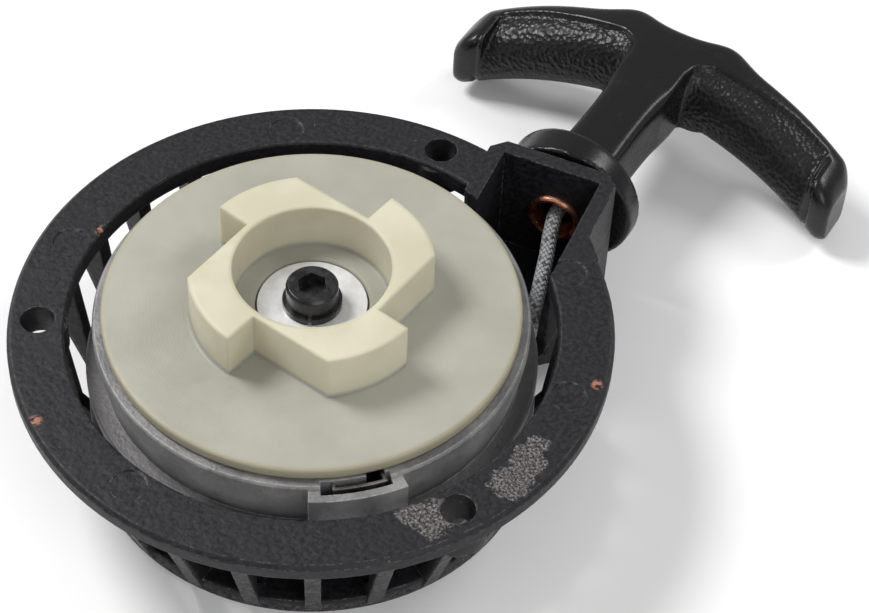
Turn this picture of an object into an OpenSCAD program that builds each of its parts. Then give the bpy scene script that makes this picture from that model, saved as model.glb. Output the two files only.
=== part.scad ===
// Recoil starter of a small two-stroke engine: an open cast cage with a three-hole
// mounting flange, a sprung rope reel with a moulded claw plate, and a T handle.
// Origin: centre of the bolt circle on the mounting face. +Z points out of that face,
// towards the engine. +Y is the direction in which the handle is pulled. Millimetres.

/* [Housing] */
// Outer radius of the mounting flange
flange_r = 58; // [57:0.5:60]
// Radius of the opening inside the flange
opening_r = 47.3; // [47:0.1:48.5]
// Thickness of the flange
flange_t = 4; // [3:0.5:5]
// Depth of the cage below the mounting face
depth = 33.5; // [33:0.5:36]
// Radius of the cage floor
floor_r = 44.5; // [43:0.5:46]
// Number of cooling vanes in the cage
vane_count = 24; // [18:2:30]
// Thickness of one vane
vane_t = 3; // [2:0.5:4]
// Radius of the central post that the reel turns on
post_r = 8; // [7:0.5:8.5]

/* [Flange bolts] */
// Diameter of the bolt circle
bolt_circle_d = 104.5; // [103:0.5:106]
// Radius of a bolt hole
bolt_hole_r = 3.3; // [2.7:0.1:3.6]
// Direction of the first bolt hole from +X
first_bolt_angle = 85; // [80:1:90]

/* [Rope] */
// Diameter of the starter rope
rope_d = 3.2; // [2.5:0.1:3.5]
// Distance of the rope exit from the reel axis, along X
exit_x = 28.5; // [28:0.5:30]
// Height of the rope exit
exit_z = -14; // [-15:0.5:-14]

/* [Reel] */
// Radius at which the rope leaves the reel
wrap_r = 39.8; // [39:0.1:40.5]
// Outer radius of the two rope flanges
reel_flange_r = 43.8; // [43:0.1:44.2]
// Radius of the moulded claw plate
plate_r = 40; // [38:0.5:41]
// Outer radius of the claws
claw_r = 23.3; // [21:0.1:25]
// Inner radius of the claw ring
claw_bore_r = 15; // [13:0.5:15]
// Height of the claw ring above the plate
claw_h = 10.3; // [8:0.1:12]

/* [Handle] */
// Half of the handle's width
handle_half = 46.5; // [42:0.5:50]
// How far the ends of the arms hang below the middle
arm_drop = 11; // [6:0.5:11]
// How far the ends of the arms sweep back towards the reel
arm_sweep = 7; // [0:0.5:8]
// How far the handle is turned about the rope's exit, seen from above
handle_yaw = -8; // [-8:0.5:-4]

/* [Hidden] */
$fn = 96;
eps = 0.01;

// colours
black_paint = [0.11, 0.11, 0.12];
cast_grey = [0.55, 0.55, 0.56];
ivory = [0.86, 0.83, 0.70];
bright_steel = [0.83, 0.83, 0.85];
dark_steel = [0.08, 0.08, 0.09];
copper = [0.66, 0.38, 0.28];
rope_grey = [0.62, 0.62, 0.62];
black_plastic = [0.06, 0.06, 0.065];

// housing
floor_t = 3.5;
floor_top = -depth + floor_t;
vane_step = 360 / vane_count;
boss_r = 12;
reel_bottom = -22.4;
post_top = 3.6;
screw_hole_r = 3.1;
arbor_slot_w = 1.6;

// rope pocket
pocket_x0 = 16.5;
pocket_x1 = 37.4;
pocket_y = 57;
pocket_wall = 3.2;
pocket_floor = -26;
pocket_end = pocket_y + pocket_wall;
exit_bore_r = 4.9;

// reel
fit = 0.05;
cup_top = 1.9;
cup_floor = -9.6;
cup_r = 41.8;
cup_bore = 38.6;
groove_top = -12;
groove_bottom = -20;
rope_floor_r = wrap_r - 1.5 * rope_d - 0.2;
hub_r = 12;
hook_a0 = -66;
hook_a1 = -42;
bulge_r = 44.4;
// room that the housing leaves around the reel
reel_gap = 0.3;
room_r = 45.6;
room_floor = -24;
knot_angle = 150;
knot_z = (groove_top + groove_bottom) / 2 - 0.6;
knot_x = 31;
knot_r = 2.6;
knot_pocket_r = 3.2;

// claw plate
plate_bottom = 2.1;
plate_top = 4.6;
claw_top = plate_top + claw_h;
notch_r = 16.3;
claw_count = 4;
claw_face_angle = -16;
claw_arc = 42;
washer_r = 10.5;
washer_t = 1;
lock_t = 1.4;
head_r = 5;
head_h = 4;

// handle, in a frame of its own: +Y along the stem from the rope's exit, +X to the right
handle_base = pocket_end + 0.9;
base_r = 15;
base_t = 7;
stem_root = 7.6;
stem_waist = 6.3;
bar_front = 41;
bar_back = 54;
arm_end = 0.93;
grip_z_half = 8;
tip_z_half = 7.2;
knot_seat = 42;
rope_bore_r = 1.9;
knot_well_r = 4.6;
knot_ball_r = 3.1;
seat_t = 0.8;

// rope route from the reel to the handle, whole numbers chosen by hand
run_end = handle_base - 0.1;
run_route = [[38.9, 8.3, -17.7], [37, 17, -17.5], [35, 26, -17], [33, 36, -16],
             [31, 46, -14.8], [29.5, 52, -14.2], [exit_x, 57, exit_z],
             [exit_x, 59, exit_z], [exit_x, run_end, exit_z]];

function polar(r, a) = [r * cos(a), r * sin(a)];
function ring_faces(rings, sides) = concat(
    [[for (i = [0 : sides - 1]) i]],
    [for (k = [0 : rings - 2]) for (i = [0 : sides - 1])
        [(k + 1) * sides + i, (k + 1) * sides + (i + 1) % sides,
         k * sides + (i + 1) % sides, k * sides + i]],
    [[for (i = [sides - 1 : -1 : 0]) (rings - 1) * sides + i]]);
function mix(a, b, t) = a + (b - a) * t;

module sector(r0, r1, z0, z1, a0, a1) {
    rotate([0, 0, a0])
        rotate_extrude(angle = a1 - a0)
            translate([r0, z0])
                square([r1 - r0, z1 - z0]);
}

// ---------------------------------------------------------------- housing

module flange_ring() {
    c = 0.8;
    rotate_extrude()
        polygon([[opening_r, -flange_t], [flange_r - c, -flange_t],
                 [flange_r, -flange_t + c], [flange_r, -c], [flange_r - c, 0],
                 [opening_r + c / 2, 0], [opening_r, -c / 2]]);
}

module vane(a) {
    rotate([0, 0, a])
        rotate([90, 0, 0])
            translate([0, 0, -vane_t / 2])
                linear_extrude(vane_t)
                    polygon([[55, -flange_t + 0.5], [floor_r + 0.3, -depth + 1],
                             [floor_r - 0.7, -depth], [34, -depth], [34, floor_top + 0.2],
                             [41.5, floor_top + 0.2], [room_r, room_floor],
                             [47.9, -flange_t + 0.5]]);
}

module pocket_outline() {
    polygon([[13.2, 44], [13.2, 57.4], [16, pocket_end], [38, pocket_end],
             [40.6, 57.6], [40.6, 42.4], [44.4, 37.4], [36, 30]]);
}

module bolt_places() {
    for (k = [0 : 2])
        rotate([0, 0, first_bolt_angle + 120 * k])
            translate([bolt_circle_d / 2, 0, 0])
                children();
}

// shallow round marks that the ejector pins leave on the cast face
module ejector_marks() {
    for (a = [3, 38, 121, 182, 255])
        rotate([0, 0, a])
            translate([(flange_r + opening_r) / 2 - 1.2, 0, -0.25])
                cylinder(r = 3.4, h = 1);
}

module housing() {
    color(black_paint)
        difference() {
            union() {
                flange_ring();
                for (k = [0 : vane_count - 1])
                    vane((k + 0.5) * vane_step + 2.5);
                translate([0, 0, -depth])
                    cylinder(r = floor_r, h = floor_t);
                translate([0, 0, floor_top - eps])
                    cylinder(r = boss_r, h = reel_bottom - reel_gap - floor_top);
                translate([0, 0, floor_top - eps])
                    cylinder(r = post_r, h = post_top - floor_top);
                translate([0, 0, pocket_floor - 3])
                    linear_extrude(-pocket_floor + 3)
                        pocket_outline();
                bolt_places()
                    translate([0, 0, -7])
                        cylinder(r = 5.6, h = 6);
            }
            // room for the reel
            difference() {
                translate([0, 0, room_floor])
                    cylinder(r = room_r, h = 30);
                translate([0, 0, room_floor - 1])
                    cylinder(r = post_r, h = 40);
                translate([0, 0, room_floor - 1])
                    cylinder(r = boss_r, h = 1 + reel_bottom - reel_gap - room_floor);
            }
            // rope pocket, open towards the reel and upwards
            translate([pocket_x0, 20, pocket_floor])
                cube([pocket_x1 - pocket_x0, pocket_y - 20, 40]);
            bolt_places()
                translate([0, 0, -12])
                    cylinder(r = bolt_hole_r, h = 20);
            ejector_marks();
            // rope exit
            translate([exit_x, 50, exit_z])
                rotate([-90, 0, 0])
                    cylinder(r = exit_bore_r, h = 20);
            // thread core for the centre screw
            translate([0, 0, -14])
                cylinder(r = screw_hole_r, h = 30);
            // slot in the post that holds the inner end of the spring
            translate([-post_r - 1, -arbor_slot_w / 2, cup_floor + 0.3])
                cube([post_r + 1 - 4.6, arbor_slot_w, 20]);
        }
}

// flared copper eyelet, rolled over on both faces of the wall
module eyelet() {
    color(copper)
        translate([exit_x, pocket_y, exit_z])
            rotate([-90, 0, 0])
                rotate_extrude()
                    polygon([[4.4, 0.2], [4.5, -0.6], [4.9, -1], [5.4, -1], [5.8, -0.6],
                             [5.9, 0], [exit_bore_r, 0], [exit_bore_r, pocket_wall],
                             [5.6, pocket_wall + 0.1], [5.6, pocket_wall + 0.5],
                             [4.7, pocket_wall + 0.5], [4.4, pocket_wall + 0.1]]);
}

module centre_screw() {
    seat = post_top + washer_t + lock_t;
    color(dark_steel)
        difference() {
            union() {
                rotate_extrude()
                    polygon([[0, seat], [head_r, seat], [head_r, seat + head_h - 0.5],
                             [head_r - 0.5, seat + head_h], [0, seat + head_h]]);
                translate([0, 0, -12])
                    cylinder(r = 3, h = 12 + seat + eps);
            }
            translate([0, 0, seat + head_h - 2.6])
                cylinder(d = 5 / cos(30), h = 5, $fn = 6);
        }
}

// split spring washer under the screw's head
module lock_washer() {
    color(dark_steel)
        translate([0, 0, post_top + washer_t])
            difference() {
                cylinder(r = 5.7, h = lock_t);
                translate([0, 0, -1])
                    cylinder(r = 3.15, h = 5);
                rotate([0, 0, -70])
                    translate([2, -0.4, -1])
                        cube([6, 0.8, 5]);
            }
}

module retaining_washer() {
    color(bright_steel)
        translate([0, 0, post_top])
            difference() {
                cylinder(r = washer_r, h = washer_t);
                translate([0, 0, -1])
                    cylinder(r = 3.15, h = 5);
            }
}

// flat spiral spring: packed turns against the cup wall, then open turns to the post
spring_t = 0.5;
packed_turns = 8;
open_turns = 2;
spring_in_r = 8.6;
packed_in_r = 26;
packed_out_r = 37.9;
function spring_r(turn) = turn < open_turns
    ? mix(spring_in_r, packed_in_r, turn / open_turns)
    : mix(packed_in_r, packed_out_r, (turn - open_turns) / packed_turns);
function spring_side(shift) = [for (k = [0 : 20 * (open_turns + packed_turns)])
    polar(spring_r(k / 20) + shift, 180 + 18 * k)];
module recoil_spring() {
    inner = spring_side(0);
    outer = spring_side(spring_t);
    last = len(outer) - 1;
    tail = [[-spring_in_r - spring_t, 0.3], [-5.4, 0.3], [-5.4, -0.2], [-spring_in_r, -0.2]];
    color(bright_steel)
        translate([0, 0, cup_floor + 0.6])
            linear_extrude(cup_top - cup_floor - 1.2)
                polygon(concat(tail, [for (k = [1 : last]) inner[k]],
                               [for (k = [last : -1 : 0]) outer[k]]));
}

// ---------------------------------------------------------------- reel

module reel() {
    color(cast_grey)
        difference() {
            union() {
                rotate_extrude()
                    polygon([[post_r + fit, reel_bottom], [hub_r, reel_bottom],
                             [hub_r, -14], [26, -14], [30, reel_bottom],
                             [reel_flange_r - 0.4, reel_bottom],
                             [reel_flange_r, reel_bottom + 0.4],
                             [reel_flange_r, groove_bottom - 0.4],
                             [reel_flange_r - 1.2, groove_bottom],
                             [rope_floor_r, groove_bottom], [rope_floor_r, groove_top],
                             [reel_flange_r - 1.2, groove_top],
                             [reel_flange_r, groove_top + 0.4],
                             [reel_flange_r, groove_top + 2],
                             [reel_flange_r - 0.4, groove_top + 2.4],
                             [40.4, groove_top + 2.6], [cup_r, cup_top - 2.5],
                             [cup_r, cup_top - 0.4], [cup_r - 0.4, cup_top],
                             [cup_bore, cup_top], [cup_bore, cup_floor],
                             [post_r + fit, cup_floor]]);
                // housing of the spring's outer hook
                sector(cup_bore + 1.5, bulge_r, groove_top + 1.2, cup_top - 0.8, hook_a0, hook_a1);
            }
            // slot for the hook, and the way in from the spring's chamber
            sector(40.3, 42.9, -8, cup_top + 1, hook_a0 + 3, hook_a1 - 3);
            sector(cup_bore - 1, 41.3, -7.8, cup_top + 2, hook_a1 - 9, hook_a1 - 4);
            // pocket for the rope's knot, open downwards, with its hole into the groove
            rotate([0, 0, knot_angle])
                translate([knot_x, 0, reel_bottom - 1])
                    cylinder(r = knot_pocket_r, h = 10);
            rotate([0, 0, knot_angle])
                translate([knot_x, 0, knot_z])
                    rotate([0, 90, 0])
                        cylinder(r = rope_d / 2 + 0.2, h = 8);
        }
}

// outline of the claws, going clockwise: steep driving face, round back, straight run
// down to the next face; the backs are left long here and cut by the claws' cylinder
module claw_outline() {
    step = 360 / claw_count;
    far = 2 * claw_r;
    polygon([for (k = [0 : claw_count - 1])
        let (a = claw_face_angle - step * k, next = polar(notch_r, a - step),
             back_end = polar(claw_r, a - claw_arc))
        each [polar(notch_r, a), polar(far, a), polar(far, a - claw_arc / 2),
              next + 1.6 * (back_end - next)]]);
}

module claw_plate() {
    recess_z = post_top - 0.2;
    color(ivory)
        difference() {
            union() {
                rotate_extrude()
                    polygon([[0, plate_bottom], [plate_r - 0.3, plate_bottom],
                             [plate_r, plate_bottom + 0.3], [plate_r, plate_top - 0.4],
                             [plate_r - 0.4, plate_top], [0, plate_top]]);
                intersection() {
                    translate([0, 0, plate_bottom + 1])
                        cylinder(r = claw_r, h = claw_top - plate_bottom - 1);
                    linear_extrude(2 * claw_top)
                        claw_outline();
                }
            }
            translate([0, 0, plate_top])
                cylinder(r = claw_bore_r, h = 20);
            translate([0, 0, recess_z])
                cylinder(r = washer_r + 0.4, h = 20);
            translate([0, 0, -1])
                cylinder(r = post_r + 0.3, h = 20);
        }
}

// the wound rope under the turn that is pulled out, as one solid of its outer shape
module rope_coil() {
    mid = (groove_top + groove_bottom) / 2;
    turn = (groove_top - groove_bottom - 0.4) / 4;
    out_r = wrap_r - rope_d / 2 - reel_gap;
    color(rope_grey)
        rotate_extrude()
            polygon([[rope_floor_r + 0.1, mid - 2 * turn], [out_r - 0.5, mid - 2 * turn],
                     [out_r, mid - turn], [out_r - 0.7, mid], [out_r, mid + turn],
                     [out_r - 0.5, mid + 2 * turn], [rope_floor_r + 0.1, mid + 2 * turn]]);
}

module reel_knot() {
    color(rope_grey)
        rotate([0, 0, knot_angle])
            translate([knot_x, 0, knot_z]) {
                sphere(r = knot_r, $fn = 24);
                rotate([0, 90, 0])
                    cylinder(r = rope_d / 2, h = rope_floor_r - knot_x - 0.1);
            }
}

// outer end of the spring strip, bent into a hook in its slot
module spring_hook() {
    strip = 0.6;
    color(bright_steel)
        union() {
            sector(41.4, 41.4 + strip, -7.5, cup_top - 0.6, hook_a0 + 6, hook_a1 - 4);
            rotate([0, 0, hook_a0 + 6])
                translate([40.5, 0, -7.5])
                    cube([1.4, strip, cup_top + 6.9]);
            rotate([0, 0, hook_a1 - 5])
                translate([38.8, 0, -7.5])
                    cube([3.1, strip, cup_top + 6.9]);
        }
}

// ---------------------------------------------------------------- handle

steps = 48;
// the arms at x = handle_half * s, with s from -1 to 1
function outer_edge(s) = bar_back - arm_sweep * s * s + 2.6 * exp(-pow((abs(s) - 0.25) / 0.12, 2))
                         - 3 * pow(max(0, (abs(s) - arm_end) / (1 - arm_end)), 2);
function inner_edge(s) = bar_front - arm_sweep * s * s - 1.4 * s * s
                         + 1.5 * pow(max(0, (abs(s) - arm_end) / (1 - arm_end)), 2);
function arm_z(s) = -arm_drop * pow(abs(s), 2.2);
function arm_z_half(s) = mix(grip_z_half, tip_z_half, s * s)
                         - 2 * pow(max(0, (abs(s) - arm_end) / (1 - arm_end)), 2);
// half width of the stem at y, flaring into the collar and into the arms
function stem_half(y) = stem_waist + (stem_root - stem_waist) * exp(-y / 12)
                        + 7 * exp((y - bar_front) / 4);

module handle_pose() {
    translate([exit_x, handle_base, exit_z])
        rotate([0, 0, handle_yaw])
            children();
}

// the T seen from above
module grip_plan() {
    polygon([for (i = [0 : steps])
                 let (s = 2 * i / steps - 1) [handle_half * s, outer_edge(s)],
             for (i = [0 : steps])
                 let (s = 1 - 2 * i / steps) [handle_half * s, inner_edge(s)]]);
    polygon([for (i = [0 : 20]) let (y = 3 + 2 * i) [-stem_half(y), y],
             for (i = [20 : -1 : 0]) let (y = 3 + 2 * i) [stem_half(y), y]]);
}

// the T seen along the stem: a band of even height that droops towards its ends
module grip_front() {
    polygon([for (i = [0 : steps])
                 let (s = 2.02 * i / steps - 1.01) [handle_half * s, arm_z(s) - arm_z_half(s)],
             for (i = [0 : steps])
                 let (s = 1.01 - 2.02 * i / steps) [handle_half * s, arm_z(s) + arm_z_half(s)]]);
}

// the collar round the stem's root, cut off parallel to the pocket's end wall
module collar() {
    intersection() {
        rotate([-90, 0, 0])
            rotate_extrude()
                polygon([[0, -5], [base_r, -5], [base_r, base_t - 1],
                         [base_r - 1, base_t], [0, base_t]]);
        rotate([0, 0, -handle_yaw])
            translate([-30, 0, -30])
                cube([60, 30, 60]);
    }
}

module handle() {
    color(black_plastic)
        handle_pose()
            difference() {
                union() {
                    intersection() {
                        translate([0, 0, -40])
                            linear_extrude(60)
                                grip_plan();
                        translate([0, 60, 0])
                            rotate([90, 0, 0])
                                linear_extrude(80)
                                    grip_front();
                    }
                    collar();
                }
                translate([0, -5, 0])
                    rotate([-90, 0, 0])
                        cylinder(r = rope_bore_r, h = 60);
                translate([0, knot_seat, 0])
                    rotate([-90, 0, 0])
                        cylinder(r = knot_well_r, h = 20);
            }
}

module handle_washer() {
    color(bright_steel)
        handle_pose()
            translate([0, knot_seat + 0.02, 0])
                rotate([-90, 0, 0])
                    difference() {
                        cylinder(r = knot_well_r - 0.3, h = seat_t);
                        translate([0, 0, -1])
                            cylinder(r = rope_bore_r, h = 3);
                    }
}

module handle_knot() {
    color(rope_grey)
        handle_pose()
            translate([0, knot_seat + seat_t + 0.1 + knot_ball_r, 0])
                sphere(r = knot_ball_r, $fn = 24);
}

module handle_rope() {
    color(rope_grey)
        handle_pose()
            translate([0, 0.2, 0])
                rotate([-90, 0, 0])
                    cylinder(r = rope_d / 2, h = knot_seat + seat_t - 0.2);
}

// the rope between the reel and the handle
run_sides = 8;
function run_dir(k) = let (n = len(run_route) - 1,
    d = run_route[min(n, k + 1)] - run_route[max(0, k - 1)]) d / norm(d);
function run_ring(k) = let (d = run_dir(k), side = [d[1], -d[0], 0] / norm([d[1], d[0]]),
                            up = cross(side, d))
    [for (i = [0 : run_sides - 1])
        let (a = -360 * i / run_sides)
        run_route[k] + (side * cos(a) + up * sin(a)) * rope_d / 2];
module rope_run() {
    color(rope_grey)
        polyhedron([for (k = [0 : len(run_route) - 1]) each run_ring(k)],
                   ring_faces(len(run_route), run_sides), convexity = 4);
}

housing();
eyelet();
centre_screw();
lock_washer();
retaining_washer();
recoil_spring();
rope_run();
reel();
claw_plate();
rope_coil();
reel_knot();
spring_hook();
handle();
handle_washer();
handle_knot();
handle_rope();
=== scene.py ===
"""Looks of the recoil starter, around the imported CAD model. Metres; +Z out of the mounting face."""
import math
import bmesh
import bpy
from mathutils import Matrix, Vector


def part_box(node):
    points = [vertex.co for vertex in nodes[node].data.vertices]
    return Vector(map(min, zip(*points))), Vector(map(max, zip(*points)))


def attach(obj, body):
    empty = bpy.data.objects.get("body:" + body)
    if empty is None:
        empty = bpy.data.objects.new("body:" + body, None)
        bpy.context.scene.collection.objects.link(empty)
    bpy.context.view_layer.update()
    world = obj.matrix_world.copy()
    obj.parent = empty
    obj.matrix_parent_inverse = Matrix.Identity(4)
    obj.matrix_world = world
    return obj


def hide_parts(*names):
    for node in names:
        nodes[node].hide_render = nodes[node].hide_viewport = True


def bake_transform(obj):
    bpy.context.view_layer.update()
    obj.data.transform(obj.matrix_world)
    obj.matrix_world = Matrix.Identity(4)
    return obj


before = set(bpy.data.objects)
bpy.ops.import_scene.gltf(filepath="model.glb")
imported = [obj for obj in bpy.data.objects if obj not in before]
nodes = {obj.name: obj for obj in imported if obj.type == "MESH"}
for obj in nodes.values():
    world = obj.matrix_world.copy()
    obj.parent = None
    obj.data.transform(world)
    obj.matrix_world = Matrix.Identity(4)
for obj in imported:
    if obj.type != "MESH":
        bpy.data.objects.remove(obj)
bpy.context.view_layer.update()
MM = 0.001
X_AXIS, Y_AXIS, Z_AXIS = Vector((1, 0, 0)), Vector((0, 1, 0)), Vector((0, 0, 1))

ROOT, REEL, HANDLE = "housing_body", "reel_body", "handle_body"

# places that the frame gives, and heights and sizes as in the CAD model
eyelet_lo, eyelet_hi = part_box("eyelet")
EXIT_X = (eyelet_lo.x + eyelet_hi.x) / 2
EXIT_Z = (eyelet_lo.z + eyelet_hi.z) / 2
PLATE_TOP = 4.6 * MM
FLOOR_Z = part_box("housing")[0].z
ROPE_R = 1.6 * MM

# the handle's own frame: +Y along the stem from the rope's exit
HANDLE_BASE = 61.1 * MM
HANDLE_YAW = math.radians(-8)
HANDLE_POSE = (Matrix.Translation((EXIT_X, HANDLE_BASE, EXIT_Z))
               @ Matrix.Rotation(HANDLE_YAW, 4, "Z"))
KNOT_SEAT = 42 * MM


# ---------------------------------------------------------------- camera, floor and light

CAM_AZIMUTH, CAM_ELEVATION, CAM_ROLL = 21.1, 48.9, 2.76
CAM_TARGET = Vector((20.0, 12.6, 0)) * MM
CAM_DISTANCE = 467.5 * MM
CAM_LENS = 100.65

FLOOR_HALF, FLOOR_GAP = 3.0, 0.05 * MM
WORLD_STRENGTH = 0.42
# name, place, size and power
LIGHTS = (("key", (-0.55, 0.05, 0.70), 0.35, 6.5),
          ("back", (0.55, 0.60, 0.75), 0.35, 2.6),
          ("fill", (0.55, -0.45, 0.50), 0.6, 2.4))
LIGHT_TARGET = (0.02, 0.03, 0)


def add_camera():
    a, e, r = (math.radians(v) for v in (CAM_AZIMUTH, CAM_ELEVATION, CAM_ROLL))
    back = Vector((math.sin(a) * math.cos(e), -math.cos(a) * math.cos(e), math.sin(e)))
    right = Vector((math.cos(a), math.sin(a), 0))
    up = back.cross(right)
    right, up = right * math.cos(r) + up * math.sin(r), up * math.cos(r) - right * math.sin(r)
    data = bpy.data.cameras.new("camera")
    data.lens = CAM_LENS
    data.sensor_width = 36
    data.clip_start = 0.01
    camera = bpy.data.objects.new("camera", data)
    turn = Matrix((right, up, back)).transposed().to_4x4()
    camera.matrix_world = Matrix.Translation(CAM_TARGET + back * CAM_DISTANCE) @ turn
    bpy.context.scene.collection.objects.link(camera)
    bpy.context.scene.camera = camera


def add_light(name, where, size, power):
    data = bpy.data.lights.new(name, "AREA")
    data.shape = "DISK"
    data.size = size
    data.energy = power
    light = bpy.data.objects.new(name, data)
    light.location = where
    away = Vector(where) - Vector(LIGHT_TARGET)
    light.rotation_euler = away.to_track_quat("Z", "Y").to_euler()
    bpy.context.scene.collection.objects.link(light)


def add_studio():
    mesh = bpy.data.meshes.new("floor")
    half = FLOOR_HALF
    z = FLOOR_Z - FLOOR_GAP
    mesh.from_pydata([(-half, -half, z), (half, -half, z), (half, half, z), (-half, half, z)],
                     [], [(0, 1, 2, 3)])
    floor = bpy.data.objects.new("floor", mesh)
    bpy.context.scene.collection.objects.link(floor)
    mat, nt, shader = material("studio_floor")
    shader.inputs["Base Color"].default_value = (0.92, 0.92, 0.92, 1)
    shader.inputs["Roughness"].default_value = 0.9
    mesh.materials.append(mat)
    world = bpy.data.worlds.new("studio")
    world.use_nodes = True
    sky = world.node_tree.nodes["Background"]
    sky.inputs["Color"].default_value = (1, 1, 1, 1)
    sky.inputs["Strength"].default_value = WORLD_STRENGTH
    bpy.context.scene.world = world
    for light in LIGHTS:
        add_light(*light)
    bpy.context.scene.view_settings.view_transform = "Standard"


# ---------------------------------------------------------------- material helpers

def material(name):
    mat = bpy.data.materials.new(name)
    mat.use_nodes = True
    nt = mat.node_tree
    return mat, nt, nt.nodes["Principled BSDF"]


def plug(nt, socket, value):
    """Links an output to a socket, or sets the socket's value."""
    if isinstance(value, bpy.types.NodeSocket):
        nt.links.new(value, socket)
    else:
        socket.default_value = value


def calc(nt, op, a, b=0.0):
    n = nt.nodes.new("ShaderNodeMath")
    n.operation = op
    plug(nt, n.inputs[0], a)
    plug(nt, n.inputs[1], b)
    return n.outputs[0]


def place(nt):
    """The place on the object, in its own coordinates."""
    return nt.nodes.new("ShaderNodeTexCoord").outputs["Object"]


def xyz(nt):
    n = nt.nodes.new("ShaderNodeSeparateXYZ")
    plug(nt, n.inputs[0], place(nt))
    return n.outputs


def noise(nt, scale, detail=2.0, rough=0.5):
    n = nt.nodes.new("ShaderNodeTexNoise")
    n.inputs["Scale"].default_value = scale
    n.inputs["Detail"].default_value = detail
    n.inputs["Roughness"].default_value = rough
    plug(nt, n.inputs["Vector"], place(nt))
    return n.outputs["Fac"]


def cells(nt, scale):
    n = nt.nodes.new("ShaderNodeTexVoronoi")
    n.inputs["Scale"].default_value = scale
    plug(nt, n.inputs["Vector"], place(nt))
    return n.outputs["Distance"]


def times(nt, a, b):
    return calc(nt, "MULTIPLY", a, b)


def plus(nt, a, b):
    return calc(nt, "ADD", a, b)


def from_axis(nt, x, y):
    """The distance from the reel's axis."""
    return calc(nt, "SQRT", plus(nt, calc(nt, "POWER", x, 2.0), calc(nt, "POWER", y, 2.0)))


def span(nt, value, lo, hi, to_lo=0.0, to_hi=1.0):
    """A smooth step: to_lo where the value is lo, to_hi where it is hi."""
    n = nt.nodes.new("ShaderNodeMapRange")
    n.interpolation_type = "SMOOTHSTEP"
    for socket, v in zip(n.inputs[:5], (value, lo, hi, to_lo, to_hi)):
        plug(nt, socket, v)
    return n.outputs[0]


def blend_colour(nt, fac, a, b):
    n = nt.nodes.new("ShaderNodeMix")
    n.data_type = "RGBA"
    plug(nt, n.inputs["Factor"], fac)
    plug(nt, n.inputs[6], a)
    plug(nt, n.inputs[7], b)
    return n.outputs[2]


def grained(nt, pattern, lo, hi, dark, light):
    """A colour that goes from dark to light as the pattern goes from lo to hi."""
    return blend_colour(nt, span(nt, pattern, lo, hi), dark, light)


def bump(nt, height, distance, strength=1.0, normal=None):
    n = nt.nodes.new("ShaderNodeBump")
    n.inputs["Strength"].default_value = strength
    n.inputs["Distance"].default_value = distance
    plug(nt, n.inputs["Height"], height)
    if normal is not None:
        plug(nt, n.inputs["Normal"], normal)
    return n.outputs["Normal"]


def soft_edge(nt, radius):
    n = nt.nodes.new("ShaderNodeBevel")
    n.samples = 4
    n.inputs["Radius"].default_value = radius
    return n.outputs["Normal"]


def edge_mask(nt, radius):
    """1 along sharp edges, 0 on flat faces."""
    dot = nt.nodes.new("ShaderNodeVectorMath")
    dot.operation = "DOT_PRODUCT"
    plug(nt, dot.inputs[0], soft_edge(nt, radius))
    plug(nt, dot.inputs[1], nt.nodes.new("ShaderNodeNewGeometry").outputs["Normal"])
    return span(nt, calc(nt, "SUBTRACT", 1.0, dot.outputs["Value"]), 0.02, 0.2)


def near(nt, centre, radius):
    """1 at a place on the object, falling to 0 at the radius."""
    n = nt.nodes.new("ShaderNodeVectorMath")
    n.operation = "DISTANCE"
    plug(nt, n.inputs[0], place(nt))
    n.inputs[1].default_value = centre
    return span(nt, n.outputs["Value"], radius, radius * 0.35)


def rgba(r, g, b):
    return (r, g, b, 1.0)


# ---------------------------------------------------------------- materials

# the line that the vanes' outer faces follow
CAGE_TOP_R, CAGE_TOP_Z = 55 * MM, -3.5 * MM
CAGE_FOOT_R, CAGE_FOOT_Z = 44.8 * MM, -32.5 * MM
CAGE_SLOPE = (CAGE_TOP_R - CAGE_FOOT_R) / (CAGE_TOP_Z - CAGE_FOOT_Z)
# places on the flange where the paint is rubbed through, and where it is chipped down to a
# copper tone: x, y, radius in millimetres
RUBBED = ((39.4, -33.4, 6.2), (35.4, -34.6, 3.8), (49.2, -20.6, 5.6), (50.4, -14.6, 5.0),
          (50.6, -10.4, 3.2))
CHIPS = ((-47.4, 3.4, 1.6), (-35.7, -43.6, 1.6), (55.4, 7.5, 1.5))


def spots(nt, places):
    """1 at each of the places, falling to 0 at its radius."""
    found = None
    for x, y, radius in places:
        spot = near(nt, Vector((x, y, 0)) * MM, radius * MM)
        found = spot if found is None else calc(nt, "MAXIMUM", found, spot)
    return found


def bare_metal_and_highlight(nt):
    """How far the black paint is gone: rubbed patches, and worn edges and scoured vane faces that are
    partly wear and partly painted highlight.
    """
    x, y, z = xyz(nt)
    # worn edges, partly wear and partly a painted highlight, made stronger towards the front (-Y)
    knocked_and_lit = span(nt, y, 0.0, -30 * MM, 0.70, 1.0)
    worn_and_lit_edges = times(nt, times(nt, edge_mask(nt, 0.5 * MM), knocked_and_lit),
                       span(nt, noise(nt, 520, 4, 0.75), 0.46, 0.56))
    skin = plus(nt, CAGE_TOP_R - CAGE_SLOPE * CAGE_TOP_Z, times(nt, z, CAGE_SLOPE))
    outside = times(nt, span(nt, calc(nt, "SUBTRACT", from_axis(nt, x, y), skin),
                             -1.0 * MM, -0.4 * MM), span(nt, y, 22 * MM, 14 * MM))
    # the vanes' lower outer faces at the front made lighter: partly scoured paint, partly a painted
    # highlight where they face the light
    vane_face = times(nt, outside, span(nt, z, -5 * MM, -9 * MM, 0.0, 0.34))
    scoured_and_lit = times(nt, vane_face, span(nt, noise(nt, 1000, 4, 0.75), 0.40, 0.58))
    torn = times(nt, noise(nt, 300, 5, 0.75), 2.6)
    ragged = span(nt, plus(nt, spots(nt, RUBBED), torn), 1.72, 1.86)
    rubbed = times(nt, ragged, span(nt, noise(nt, 1800, 3, 0.75), 0.40, 0.62))
    return calc(nt, "MAXIMUM", calc(nt, "MAXIMUM", worn_and_lit_edges, scoured_and_lit), rubbed)


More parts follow.
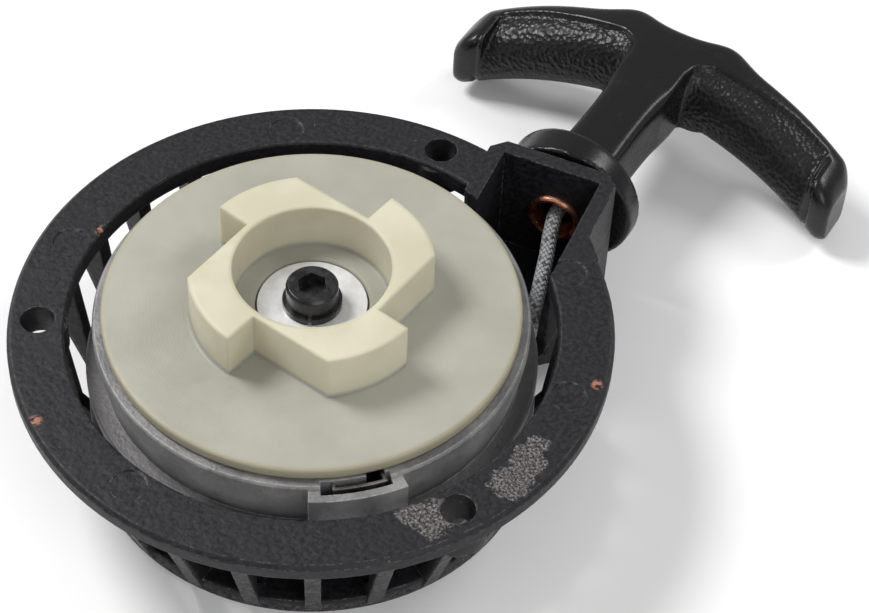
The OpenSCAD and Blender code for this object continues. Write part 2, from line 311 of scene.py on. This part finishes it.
def black_casting():
    mat, nt, shader = material("black_casting")
    grain = noise(nt, 1100, 4, 0.65)
    paint = grained(nt, grain, 0.35, 0.7, rgba(0.007, 0.007, 0.008), rgba(0.022, 0.021, 0.025))
    paint = grained(nt, noise(nt, 90, 3, 0.6), 0.45, 0.75, paint, rgba(0.015, 0.014, 0.017))
    metal_and_highlight_tone = grained(nt, noise(nt, 1700, 3, 0.7), 0.35, 0.65, rgba(0.085, 0.077, 0.074),
                         rgba(0.30, 0.282, 0.27))
    bare_and_highlight = bare_metal_and_highlight(nt)
    chipped = times(nt, spots(nt, CHIPS), span(nt, noise(nt, 900, 2), 0.42, 0.5))
    # the bare metal tone where the paint is gone, also standing in for the painted highlights on the
    # edges and vane faces
    colour = blend_colour(nt, bare_and_highlight, paint, metal_and_highlight_tone)
    colour = blend_colour(nt, chipped, colour, rgba(0.33, 0.15, 0.10))
    plug(nt, shader.inputs["Base Color"], colour)
    plug(nt, shader.inputs["Metallic"], times(nt, bare_and_highlight, 0.4))
    shader.inputs["Specular IOR Level"].default_value = 0.27
    plug(nt, shader.inputs["Roughness"], span(nt, grain, 0.3, 0.7, 0.40, 0.56))
    height = plus(nt, times(nt, grain, 0.7), times(nt, cells(nt, 700), 0.35))
    height = plus(nt, height, times(nt, noise(nt, 260, 3, 0.6), 1.6))
    height = calc(nt, "SUBTRACT", height, times(nt, bare_and_highlight, 0.35))
    plug(nt, shader.inputs["Normal"],
         bump(nt, height, 0.20 * MM, 0.8, soft_edge(nt, 0.8 * MM)))
    return mat


def cast_alloy():
    mat, nt, shader = material("cast_alloy")
    cloud = noise(nt, 120, 5, 0.65)
    colour = grained(nt, cloud, 0.35, 0.7, rgba(0.20, 0.20, 0.202), rgba(0.36, 0.355, 0.35))
    stain = span(nt, noise(nt, 260, 4, 0.7), 0.58, 0.72)
    colour = blend_colour(nt, times(nt, stain, 0.55), colour, rgba(0.07, 0.068, 0.065))
    # painted shade: the reel's wall darkens from 3 mm down to -8 mm, where it goes down into the
    # housing
    depth_shade = span(nt, xyz(nt)[2], 3 * MM, -8 * MM, 0.15, 0.62)
    colour = blend_colour(nt, depth_shade, colour, rgba(0.085, 0.078, 0.080))
    # bright nicked edges: partly wear, partly a painted highlight along the rim's edge
    nicks_and_edge_highlight = times(nt, edge_mask(nt, 0.4 * MM),
                   span(nt, noise(nt, 800, 3, 0.7), 0.42, 0.56, 0.25, 0.95))
    colour = blend_colour(nt, nicks_and_edge_highlight, colour, rgba(0.72, 0.715, 0.70))
    plug(nt, shader.inputs["Base Color"], colour)
    shader.inputs["Metallic"].default_value = 0.45
    plug(nt, shader.inputs["Roughness"], span(nt, cloud, 0.3, 0.7, 0.48, 0.68))
    height = plus(nt, noise(nt, 1500, 3, 0.6), times(nt, noise(nt, 420, 4, 0.65), 1.5))
    plug(nt, shader.inputs["Normal"],
         bump(nt, height, 0.20 * MM, 0.8, soft_edge(nt, 0.6 * MM)))
    return mat


TURNING_WAVE = 9000.0  # radians per metre, for the turning marks on the disc


def nylon():
    mat, nt, shader = material("nylon")
    x, y, z = xyz(nt)
    radius = from_axis(nt, x, y)
    on_ring = span(nt, z, PLATE_TOP + 0.1 * MM, PLATE_TOP + 1.6 * MM)
    flow = noise(nt, 60, 3, 0.5)
    disc = grained(nt, flow, 0.35, 0.65, rgba(0.345, 0.338, 0.285), rgba(0.385, 0.378, 0.322))
    ring = grained(nt, flow, 0.35, 0.65, rgba(0.53, 0.50, 0.37), rgba(0.60, 0.575, 0.44))
    colour = blend_colour(nt, on_ring, disc, ring)
    rim = span(nt, radius, 38.6 * MM, 40 * MM)
    colour = blend_colour(nt, times(nt, rim, 0.5), colour, rgba(0.36, 0.31, 0.18))
    dirt = span(nt, noise(nt, 330, 4, 0.7), 0.66, 0.78)
    colour = blend_colour(nt, times(nt, dirt, 0.25), colour, rgba(0.30, 0.25, 0.15))
    plug(nt, shader.inputs["Base Color"], colour)
    shader.inputs["Subsurface Weight"].default_value = 0.35
    shader.inputs["Subsurface Radius"].default_value = (1.0, 0.75, 0.4)
    shader.inputs["Subsurface Scale"].default_value = 2.5 * MM
    plug(nt, shader.inputs["Roughness"], span(nt, noise(nt, 500, 3), 0.3, 0.7, 0.36, 0.5))
    turning = calc(nt, "SINE", times(nt, radius, TURNING_WAVE))
    height = plus(nt, times(nt, turning, 0.10), noise(nt, 800, 3, 0.6))
    plug(nt, shader.inputs["Normal"], bump(nt, height, 0.05 * MM, 0.5, soft_edge(nt, 1.3 * MM)))
    return mat


def handle_plastic():
    mat, nt, shader = material("handle_plastic")
    mould = noise(nt, 1400, 3, 0.6)
    scuff = span(nt, noise(nt, 240, 5, 0.75), 0.56, 0.70)
    pad = nt.nodes.new("ShaderNodeAttribute")
    pad.attribute_name = "pad"
    on_pad = pad.outputs["Fac"]
    colour = blend_colour(nt, times(nt, scuff, 0.5), rgba(0.0045, 0.0045, 0.005),
                          rgba(0.014, 0.014, 0.015))
    colour = blend_colour(nt, on_pad, colour, rgba(0.006, 0.006, 0.0065))
    plug(nt, shader.inputs["Base Color"], colour)
    shader.inputs["Specular IOR Level"].default_value = 0.36
    rough = plus(nt, span(nt, mould, 0.3, 0.7, 0.24, 0.32), times(nt, on_pad, 0.06))
    plug(nt, shader.inputs["Roughness"], rough)
    stipple = times(nt, cells(nt, 1000), plus(nt, 0.04, times(nt, on_pad, 1.1)))
    plug(nt, shader.inputs["Normal"],
         bump(nt, plus(nt, times(nt, mould, 0.08), stipple), 0.22 * MM, 0.85))
    return mat


def metal(name, colour_a, colour_b, rough_a, rough_b, grain_scale, depth, metallic=1.0):
    mat, nt, shader = material(name)
    cloud = noise(nt, grain_scale, 4, 0.65)
    colour = grained(nt, cloud, 0.35, 0.68, rgba(*colour_a), rgba(*colour_b))
    plug(nt, shader.inputs["Base Color"], colour)
    shader.inputs["Metallic"].default_value = metallic
    plug(nt, shader.inputs["Roughness"], span(nt, cloud, 0.3, 0.7, rough_a, rough_b))
    fine = noise(nt, grain_scale * 6, 2, 0.5)
    plug(nt, shader.inputs["Normal"], bump(nt, fine, depth, 0.5, soft_edge(nt, 0.25 * MM)))
    return mat


STRANDS = 8
BRAID_PITCH = 5.2 * MM
FLECK_EVERY = 4.0


def rope_braid(name, along_y):
    """Braided nylon. The weave runs along the piece's UV, or along Y where it is pulled out."""
    mat, nt, shader = material(name)
    uv = nt.nodes.new("ShaderNodeUVMap")
    split = nt.nodes.new("ShaderNodeSeparateXYZ")
    plug(nt, split.inputs[0], uv.outputs[0])
    around = times(nt, split.outputs[0], float(STRANDS))
    length = xyz(nt)[1] if along_y else split.outputs[1]
    along = calc(nt, "DIVIDE", length, BRAID_PITCH / STRANDS * 2)
    one = plus(nt, around, along)
    two = calc(nt, "SUBTRACT", around, along)
    cell_one, cell_two = calc(nt, "FLOOR", one), calc(nt, "FLOOR", two)
    over = calc(nt, "PINGPONG", plus(nt, cell_one, cell_two), 1.0)
    under = calc(nt, "SUBTRACT", 1.0, over)
    arch_one = calc(nt, "SINE", times(nt, calc(nt, "FRACT", one), math.pi))
    arch_two = calc(nt, "SINE", times(nt, calc(nt, "FRACT", two), math.pi))
    height = plus(nt, times(nt, over, arch_one), times(nt, under, arch_two))
    cell = plus(nt, times(nt, over, cell_one), times(nt, under, cell_two))
    dark = calc(nt, "LESS_THAN", calc(nt, "PINGPONG", cell, FLECK_EVERY), 0.5)
    yarn = blend_colour(nt, dark, rgba(0.40, 0.41, 0.42), rgba(0.035, 0.035, 0.04))
    fluff = noise(nt, 2600, 3, 0.6)
    yarn = blend_colour(nt, span(nt, fluff, 0.35, 0.7, 0.0, 0.35), yarn, rgba(0.62, 0.63, 0.64))
    # painted shade: the yarn goes dark in the grooves between the strands and keeps its full colour
    # on their crowns
    painted_groove_shade = span(nt, height, 0.0, 0.7)
    plug(nt, shader.inputs["Base Color"], blend_colour(nt, painted_groove_shade, rgba(0.05, 0.05, 0.052), yarn))
    shader.inputs["Roughness"].default_value = 0.7
    shader.inputs["Sheen Weight"].default_value = 0.25
    fibre = plus(nt, height, times(nt, fluff, 0.25))
    plug(nt, shader.inputs["Normal"], bump(nt, fibre, 0.30 * MM, 0.9))
    return mat


def dress(node, mat):
    slots = nodes[node].data.materials
    if not slots:
        slots.append(mat)
    for i in range(len(slots)):
        slots[i] = mat


# ---------------------------------------------------------------- mesh helpers

def link(name, mesh, mat):
    mesh.materials.clear()
    mesh.materials.append(mat)
    for p in mesh.polygons:
        p.use_smooth = True
    obj = bpy.data.objects.new(name, mesh)
    bpy.context.scene.collection.objects.link(obj)
    return obj


def loft(name, rings, closed_ends=True):
    """A skin over rings of equal length, as a mesh."""
    sides = len(rings[0])
    verts = [p for ring in rings for p in ring]
    faces = []
    for k in range(len(rings) - 1):
        for i in range(sides):
            j = (i + 1) % sides
            faces.append((k * sides + i, k * sides + j, (k + 1) * sides + j, (k + 1) * sides + i))
    if closed_ends:
        faces.append(tuple(reversed(range(sides))))
        faces.append(tuple((len(rings) - 1) * sides + i for i in range(sides)))
    mesh = bpy.data.meshes.new(name)
    mesh.from_pydata(verts, [], faces)
    bm = bmesh.new()
    bm.from_mesh(mesh)
    bmesh.ops.recalc_face_normals(bm, faces=bm.faces)
    bm.to_mesh(mesh)
    bm.free()
    return mesh


def smooth_path(points, step):
    """Catmull-Rom through the points, sampled about every step."""
    out = []
    ends = [points[0] * 2 - points[1]] + list(points) + [points[-1] * 2 - points[-2]]
    for a, b, c, d in zip(ends, ends[1:], ends[2:], ends[3:]):
        count = max(1, round((c - b).length / step))
        for k in range(count):
            t = k / count
            out.append(0.5 * (2 * b + (c - a) * t + (2 * a - 5 * b + 4 * c - d) * t * t
                              + (3 * b - a - 3 * c + d) * t ** 3))
    out.append(points[-1].copy())
    return out


def tube(name, path, radius, mat, sides=20, closed=False):
    """A round rope along a path, with its length in the second UV coordinate, in metres."""
    count = len(path)
    normal = None
    rings, lengths = [], [0.0]
    for k in range(count):
        before = path[k - 1] if (k or closed) else path[k]
        after = path[(k + 1) % count] if (k < count - 1 or closed) else path[k]
        along = (after - before).normalized()
        if normal is None:
            normal = along.orthogonal().normalized()
        normal = (normal - along * normal.dot(along)).normalized()
        side = along.cross(normal)
        rings.append([path[k] + (normal * math.cos(2 * math.pi * i / sides)
                                 + side * math.sin(2 * math.pi * i / sides)) * radius
                      for i in range(sides)])
        if k:
            lengths.append(lengths[-1] + (path[k] - path[k - 1]).length)
    if closed:
        rings.append(list(rings[0]))
        lengths.append(lengths[-1] + (path[0] - path[-1]).length)
    mesh = loft(name, rings, closed_ends=not closed)
    uv = mesh.uv_layers.new(name="along")
    for face in mesh.polygons:
        cap = len(face.vertices) > 4
        ring_ids = [mesh.loops[i].vertex_index % sides for i in face.loop_indices]
        wraps = (not cap) and max(ring_ids) - min(ring_ids) > 1
        for loop in face.loop_indices:
            v = mesh.loops[loop].vertex_index
            turn = v % sides
            if wraps and turn == 0:
                turn = sides
            uv.data[loop].uv = (turn / sides, lengths[v // sides])
    if closed:
        bm = bmesh.new()
        bm.from_mesh(mesh)
        bmesh.ops.remove_doubles(bm, verts=bm.verts, dist=1e-6)
        bm.to_mesh(mesh)
        bm.free()
    return link(name, mesh, mat)


def baked(obj):
    """The object's mesh with its modifiers applied; the object itself goes."""
    graph = bpy.context.evaluated_depsgraph_get()
    mesh = bpy.data.meshes.new_from_object(obj.evaluated_get(graph))
    bpy.data.objects.remove(obj)
    return mesh


def scratch(mesh):
    obj = bpy.data.objects.new("scratch", mesh)
    bpy.context.scene.collection.objects.link(obj)
    return obj


def combine(base, tool, operation):
    a, b = scratch(base), scratch(tool)
    modifier = a.modifiers.new("combine", "BOOLEAN")
    modifier.operation = operation
    modifier.solver = "EXACT"
    modifier.object = b
    bpy.context.view_layer.update()
    result = baked(a)
    bpy.data.objects.remove(b)
    return result


def turned(profile, sides=48):
    """A closed solid turned about the Y axis; the profile is (radius, y)."""
    rings = []
    for r, y in profile:
        rings.append([Vector((r * math.cos(2 * math.pi * i / sides), y,
                              r * math.sin(2 * math.pi * i / sides)))
                      for i in range(sides)])
    return loft("turned", rings)


def block(lo, hi):
    """A box between two corners, in millimetres."""
    corners = ((lo.x, lo.y), (hi.x, lo.y), (hi.x, hi.y), (lo.x, hi.y))
    return loft("block", [[Vector((x, y, z)) * MM for x, y in corners] for z in (lo.z, hi.z)])


# ---------------------------------------------------------------- handle

# sizes of the T as in the CAD model, in its own frame, in millimetres
HALF = 46.5
ARM_SWEEP, ARM_DROP = 7.0, 11.0
BAR_FRONT, BAR_BACK = 41.0, 54.0
DROP_CURVE = 2.2
INNER_SWEEP = 8.4
HUMP, HUMP_AT, HUMP_WIDTH = 2.6, 0.25, 0.12
ARM_END = 0.93
END_OUTER, END_INNER, END_FLAT = 3.0, 1.5, 2.0
GRIP_Z_HALF, TIP_Z_HALF = 8.0, 7.2
STEM_FROM, STEM_INTO = 3.0, 2.0
STEM_ROOT, STEM_WAIST, STEM_TAPER = 7.6, 6.3, 12.0
STEM_FLARE, FLARE_LENGTH, STEM_WIDEST = 7.0, 4.0, 14.5
STEM_Z_HALF = 7.9
COLLAR_R, COLLAR_T = 15.0, 7.0
WELL_R, BORE_R = 4.6, 1.95
# how square the sections are: 1 is an ellipse, towards 0 a rectangle
BAR_FRONT_SQUARE, BAR_BACK_SQUARE, STEM_SQUARE = 0.5, 0.36, 0.34
BAR_SIDES, BAR_STEPS = 48, 120
STEM_SIDES, STEM_STEPS = 40, 42
VOXEL = 0.5 * MM
RELAX, RELAX_STEPS = 0.5, 6
# the grip pads: where they start beside the stem and end along an arm, the width of the flat
# rim above them near the stem and near the tip, and the crown of their surface
PAD_START, PAD_TO = 6.9, 0.86
RIM_WIDE, RIM_NARROW = 7.2, 5.0
RIM_FROM, RIM_TO = 0.25, 0.8
PAD_CORNER = 6.0
PAD_RISE, PAD_SHAPE = 0.90, 2.3
PAD_STEPS, PAD_ARC = 50, 14
# how far the pad's cutter reaches past the handle: above, in front and below
CUT_ABOVE, CUT_FRONT, CUT_BELOW = 3.0, 14.0, 1.0
GROOVE_AT, GROOVE_WIDTH, GROOVE_DEPTH = 0.885, 0.009, 0.7


def power(v, p):
    return math.copysign(abs(v) ** p, v)


def mix(a, b, t):
    return a + (b - a) * t


def smooth(lo, hi, v):
    t = min(1.0, max(0.0, (v - lo) / (hi - lo)))
    return t * t * (3 - 2 * t)


def end_fall(s):
    """0 along an arm, rising to 1 at its tip; s goes from 0 at the stem to 1 or -1 at the tips."""
    return max(0.0, (abs(s) - ARM_END) / (1 - ARM_END)) ** 2


def outer_edge(s):
    hump = HUMP * math.exp(-((abs(s) - HUMP_AT) / HUMP_WIDTH) ** 2)
    return BAR_BACK - ARM_SWEEP * s * s + hump - END_OUTER * end_fall(s)


def inner_edge(s):
    return BAR_FRONT - INNER_SWEEP * s * s + END_INNER * end_fall(s)


def arm_z(s):
    return -ARM_DROP * abs(s) ** DROP_CURVE


def arm_z_half(s):
    return mix(GRIP_Z_HALF, TIP_Z_HALF, s * s) - END_FLAT * end_fall(s)


def stem_half(y):
    half = (STEM_WAIST + (STEM_ROOT - STEM_WAIST) * math.exp(-y / STEM_TAPER)
            + STEM_FLARE * math.exp((y - BAR_FRONT) / FLARE_LENGTH))
    return min(half, STEM_WIDEST)


def rounded_ring(sides, centre, axis_a, axis_b, half_a, half_b, front, back):
    """A section with its own squareness towards the reel (front) and away from it (back)."""
    ring = []
    for i in range(sides):
        t = 2 * math.pi * i / sides
        squareness = back if math.cos(t) >= 0 else front
        ring.append((centre + axis_a * half_a * power(math.cos(t), squareness)
                     + axis_b * half_b * power(math.sin(t), squareness)) * MM)
    return ring


def rim_line(s):
    """How far out the flat rim's inner edge runs, with a rounded corner beside the stem."""
    rim = mix(RIM_WIDE, RIM_NARROW, smooth(RIM_FROM, RIM_TO, abs(s)))
    beside = min(PAD_CORNER, max(0.0, abs(s) * HALF - PAD_START))
    corner = PAD_CORNER - math.sqrt(PAD_CORNER ** 2 - (PAD_CORNER - beside) ** 2)
    crest = BAR_BACK + 1 - ARM_SWEEP * s * s
    return max(crest - rim - corner, inner_edge(s) + 0.6)


def pad_cutter(side):
    """What is cut from an arm to leave the crowned grip pad under the rim."""
    rings = []
    for k in range(PAD_STEPS + 1):
        s = side * mix(PAD_START / HALF, PAD_TO, k / PAD_STEPS)
        y_in, y_rim = inner_edge(s), rim_line(s)
        bottom, top = arm_z(s) - arm_z_half(s), arm_z(s) + arm_z_half(s)
        outline = [(y_rim, top + CUT_ABOVE), (y_in - CUT_FRONT, top + CUT_ABOVE),
                   (y_in - CUT_FRONT, bottom - CUT_BELOW), (y_in, bottom - CUT_BELOW)]
        for i in range(PAD_ARC + 1):
            t = math.pi / 2 * i / PAD_ARC
            across, rise = math.cos(t), math.sin(t)
            outline.append((y_rim - (y_rim - y_in) * max(across, 0.0) ** (2 / PAD_SHAPE),
                            bottom + (top - bottom) * PAD_RISE * rise ** (2 / PAD_SHAPE)))
        rings.append([Vector((HALF * s, y, z)) * MM for y, z in outline])
    return loft("pad_cutter", rings)


def pad_and_groove(co, normal):
    """Whether a point of the T is on a grip pad, and how deep in the groove at the pad's end."""
    x, y, z = co.x / MM, co.y / MM, co.z / MM
    s = x / HALF
    if abs(s) > 0.99 or y > rim_line(s) or y < inner_edge(s) - 3:
        return 0.0, 0.0
    beside_stem = smooth(PAD_START + 0.4, PAD_START + 1.2, abs(x))
    not_under = 1 - smooth(0.6, 0.85, -normal.z)
    below_rim = smooth(0.4, 1.2, arm_z(s) + arm_z_half(s) - z)
    on_pad = beside_stem * (1 - smooth(PAD_TO - 0.01, PAD_TO, abs(s))) * not_under * below_rim
    groove = math.exp(-((abs(s) - GROOVE_AT) / GROOVE_WIDTH) ** 2)
    return on_pad, groove * smooth(0.0, 1.5, rim_line(s) - y)


def bar():
    """The two arms."""
    rings = []
    for k in range(BAR_STEPS + 1):
        s = 2 * k / BAR_STEPS - 1
        half = (outer_edge(s) - inner_edge(s)) / 2
        centre = Vector((HALF * s, inner_edge(s) + half, arm_z(s)))
        rings.append(rounded_ring(BAR_SIDES, centre, Y_AXIS, Z_AXIS, half, arm_z_half(s),
                                  BAR_FRONT_SQUARE, BAR_BACK_SQUARE))
    return loft("bar", rings)


def stem():
    rings = []
    for k in range(STEM_STEPS + 1):
        y = STEM_FROM + (BAR_FRONT + STEM_INTO) * k / STEM_STEPS
        rings.append(rounded_ring(STEM_SIDES, Vector((0, y, 0)), X_AXIS, Z_AXIS, stem_half(y),
                                  STEM_Z_HALF, STEM_SQUARE, STEM_SQUARE))
    return loft("stem", rings)


def collar():
    """The round flange, cut parallel to the pocket's wall."""
    profile = ((COLLAR_R, -5), (COLLAR_R, COLLAR_T - 1), (COLLAR_R - 0.2, COLLAR_T - 0.4),
               (COLLAR_R - 0.8, COLLAR_T))
    disc = turned([(r * MM, y * MM) for r, y in profile], sides=96)
    wall_side = block(Vector((-30, -30, -30)), Vector((30, 0, 30)))
    wall_side.transform(Matrix.Rotation(-HANDLE_YAW, 4, "Z"))
    return combine(disc, wall_side, "DIFFERENCE")


def softened(mesh):
    """The mesh with every edge rounded over."""
    obj = scratch(mesh)
    remesh = obj.modifiers.new("remesh", "REMESH")
    remesh.mode = "VOXEL"
    remesh.voxel_size = VOXEL
    relax = obj.modifiers.new("relax", "SMOOTH")
    relax.factor = RELAX
    relax.iterations = RELAX_STEPS
    bpy.context.view_layer.update()
    return baked(obj)


def mark_pads(mesh):
    """Presses in the grooves and marks the grip pads for the material."""
    normals = [v.normal.copy() for v in mesh.vertices]
    marks = [pad_and_groove(v.co, normal) for v, normal in zip(mesh.vertices, normals)]
    for v, normal, (pad, groove) in zip(mesh.vertices, normals, marks):
        v.co -= normal * groove * GROOVE_DEPTH * MM
    attribute = mesh.attributes.new("pad", "FLOAT", "POINT")
    attribute.data.foreach_set("value", [pad for pad, groove in marks])


def build_handle(mat):
    grip = combine(bar(), stem(), "UNION")
    grip = combine(grip, collar(), "UNION")
    well = turned([(WELL_R * MM, KNOT_SEAT), (WELL_R * MM, KNOT_SEAT + 20 * MM)])
    bore = turned([(BORE_R * MM, -5 * MM), (BORE_R * MM, KNOT_SEAT + MM)])
    for tool in (pad_cutter(1), pad_cutter(-1), well, bore):
        grip = combine(grip, tool, "DIFFERENCE")
    mesh = softened(grip)
    mark_pads(mesh)
    mesh.transform(HANDLE_POSE)
    handle = link("grip", mesh, mat)
    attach(handle, HANDLE)
    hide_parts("handle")


# ---------------------------------------------------------------- rope

# the same route as in the CAD model, from the reel to the handle, in millimetres
RUN_ROUTE = ((38.9, 8.3, -17.7), (37, 17, -17.5), (35, 26, -17), (33, 36, -16),
             (31, 46, -14.8), (29.5, 52, -14.2), (28.5, 57, -14), (28.5, 59, -14))
STRETCH_FROM, STRETCH_TO = 59.0 * MM, 61.0 * MM
STRETCH_STEPS = 24
IN_HANDLE_FROM, IN_HANDLE_TO, IN_HANDLE_STEP = 0.6 * MM, KNOT_SEAT + 1.2 * MM, 1.5 * MM
COIL_TURNS, TURN_STEPS = 4, 90
CHANGE_FROM = 0.84
LAYER_IN, LAYER_OUT = 36.6, 39.8
TURN_LOW, TURN_HIGH = -17.7, -14.3
TANGENT_ANGLE = math.degrees(math.atan2(RUN_ROUTE[0][1], RUN_ROUTE[0][0]))


def build_rope(mat_pulled, mat_wound):
    """The rope from the reel to the knot in the handle, and the two layers wound on the reel."""
    path = smooth_path([Vector(p) * MM for p in RUN_ROUTE], 1.0 * MM)
    for k in range(1, STRETCH_STEPS + 1):
        y = mix(STRETCH_FROM, STRETCH_TO, k / STRETCH_STEPS)
        path.append(Vector((EXIT_X, y, EXIT_Z)))
    y = IN_HANDLE_FROM
    while y < IN_HANDLE_TO:
        path.append(HANDLE_POSE @ Vector((0, y, 0)))
        y += IN_HANDLE_STEP
    run = tube("rope", path, ROPE_R, mat_pulled, sides=24)
    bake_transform(run)
    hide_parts("rope_run", "handle_rope")

    wound = []
    layers = ((LAYER_IN, TURN_LOW), (LAYER_IN, TURN_HIGH), (LAYER_OUT, TURN_HIGH),
              (LAYER_OUT, TURN_LOW))
    for k in range(COIL_TURNS * TURN_STEPS + 1):
        turn = min(k // TURN_STEPS, COIL_TURNS - 1)
        part = k / TURN_STEPS - turn
        r, z = layers[turn]
        if turn < COIL_TURNS - 1:
            next_r, next_z = layers[turn + 1]
            change = smooth(CHANGE_FROM, 1.0, part)
            r, z = mix(r, next_r, change), mix(z, next_z, change)
        a = math.radians(TANGENT_ANGLE - 360 * (COIL_TURNS - k / TURN_STEPS))
        wound.append(Vector((r * math.cos(a), r * math.sin(a), z)) * MM)
    coil = tube("rope_wound", wound, ROPE_R, mat_wound, sides=16)
    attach(coil, REEL)
    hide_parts("rope_coil")


def build_knot(name, node, body, mat, scale, radius):
    """A trefoil of rope, the shape of a tight overhand knot."""
    lo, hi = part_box(node)
    middle = (lo + hi) / 2
    path = []
    count = 72
    for k in range(count):
        t = 2 * math.pi * k / count
        path.append(middle + Vector((math.sin(t) + 2 * math.sin(2 * t), -math.sin(3 * t),
                                     math.cos(t) - 2 * math.cos(2 * t))) * scale)
    knot = tube(name, path, radius, mat, sides=16, closed=True)
    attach(knot, body)
    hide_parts(node)


# ---------------------------------------------------------------- the scene

def main():
    add_camera()
    add_studio()
    dress("housing", black_casting())
    dress("reel", cast_alloy())
    dress("claw_plate", nylon())
    oxide = metal("black_oxide", (0.010, 0.010, 0.011), (0.03, 0.03, 0.032), 0.22, 0.4, 500,
                  0.04 * MM, metallic=0.3)
    zinc = metal("zinc_steel", (0.80, 0.80, 0.81), (0.92, 0.92, 0.93), 0.34, 0.46, 260, 0.03 * MM,
                 metallic=0.35)
    spring = metal("spring_steel", (0.16, 0.15, 0.14), (0.36, 0.34, 0.32), 0.3, 0.45, 400,
                   0.03 * MM)
    copper = metal("copper", (0.62, 0.24, 0.15), (0.85, 0.42, 0.28), 0.25, 0.4, 500, 0.05 * MM)
    for node, mat in (("eyelet", copper), ("centre_screw", oxide), ("lock_washer", oxide),
                      ("retaining_washer", zinc), ("handle_washer", zinc),
                      ("recoil_spring", spring), ("spring_hook", spring)):
        dress(node, mat)
    build_handle(handle_plastic())
    wound = rope_braid("rope_wound", along_y=False)
    build_rope(rope_braid("rope_pulled", along_y=True), wound)
    build_knot("knot_in_reel", "reel_knot", REEL, wound, 0.52 * MM, 1.1 * MM)
    build_knot("knot_in_handle", "handle_knot", HANDLE, wound, 0.60 * MM, 1.3 * MM)


main()
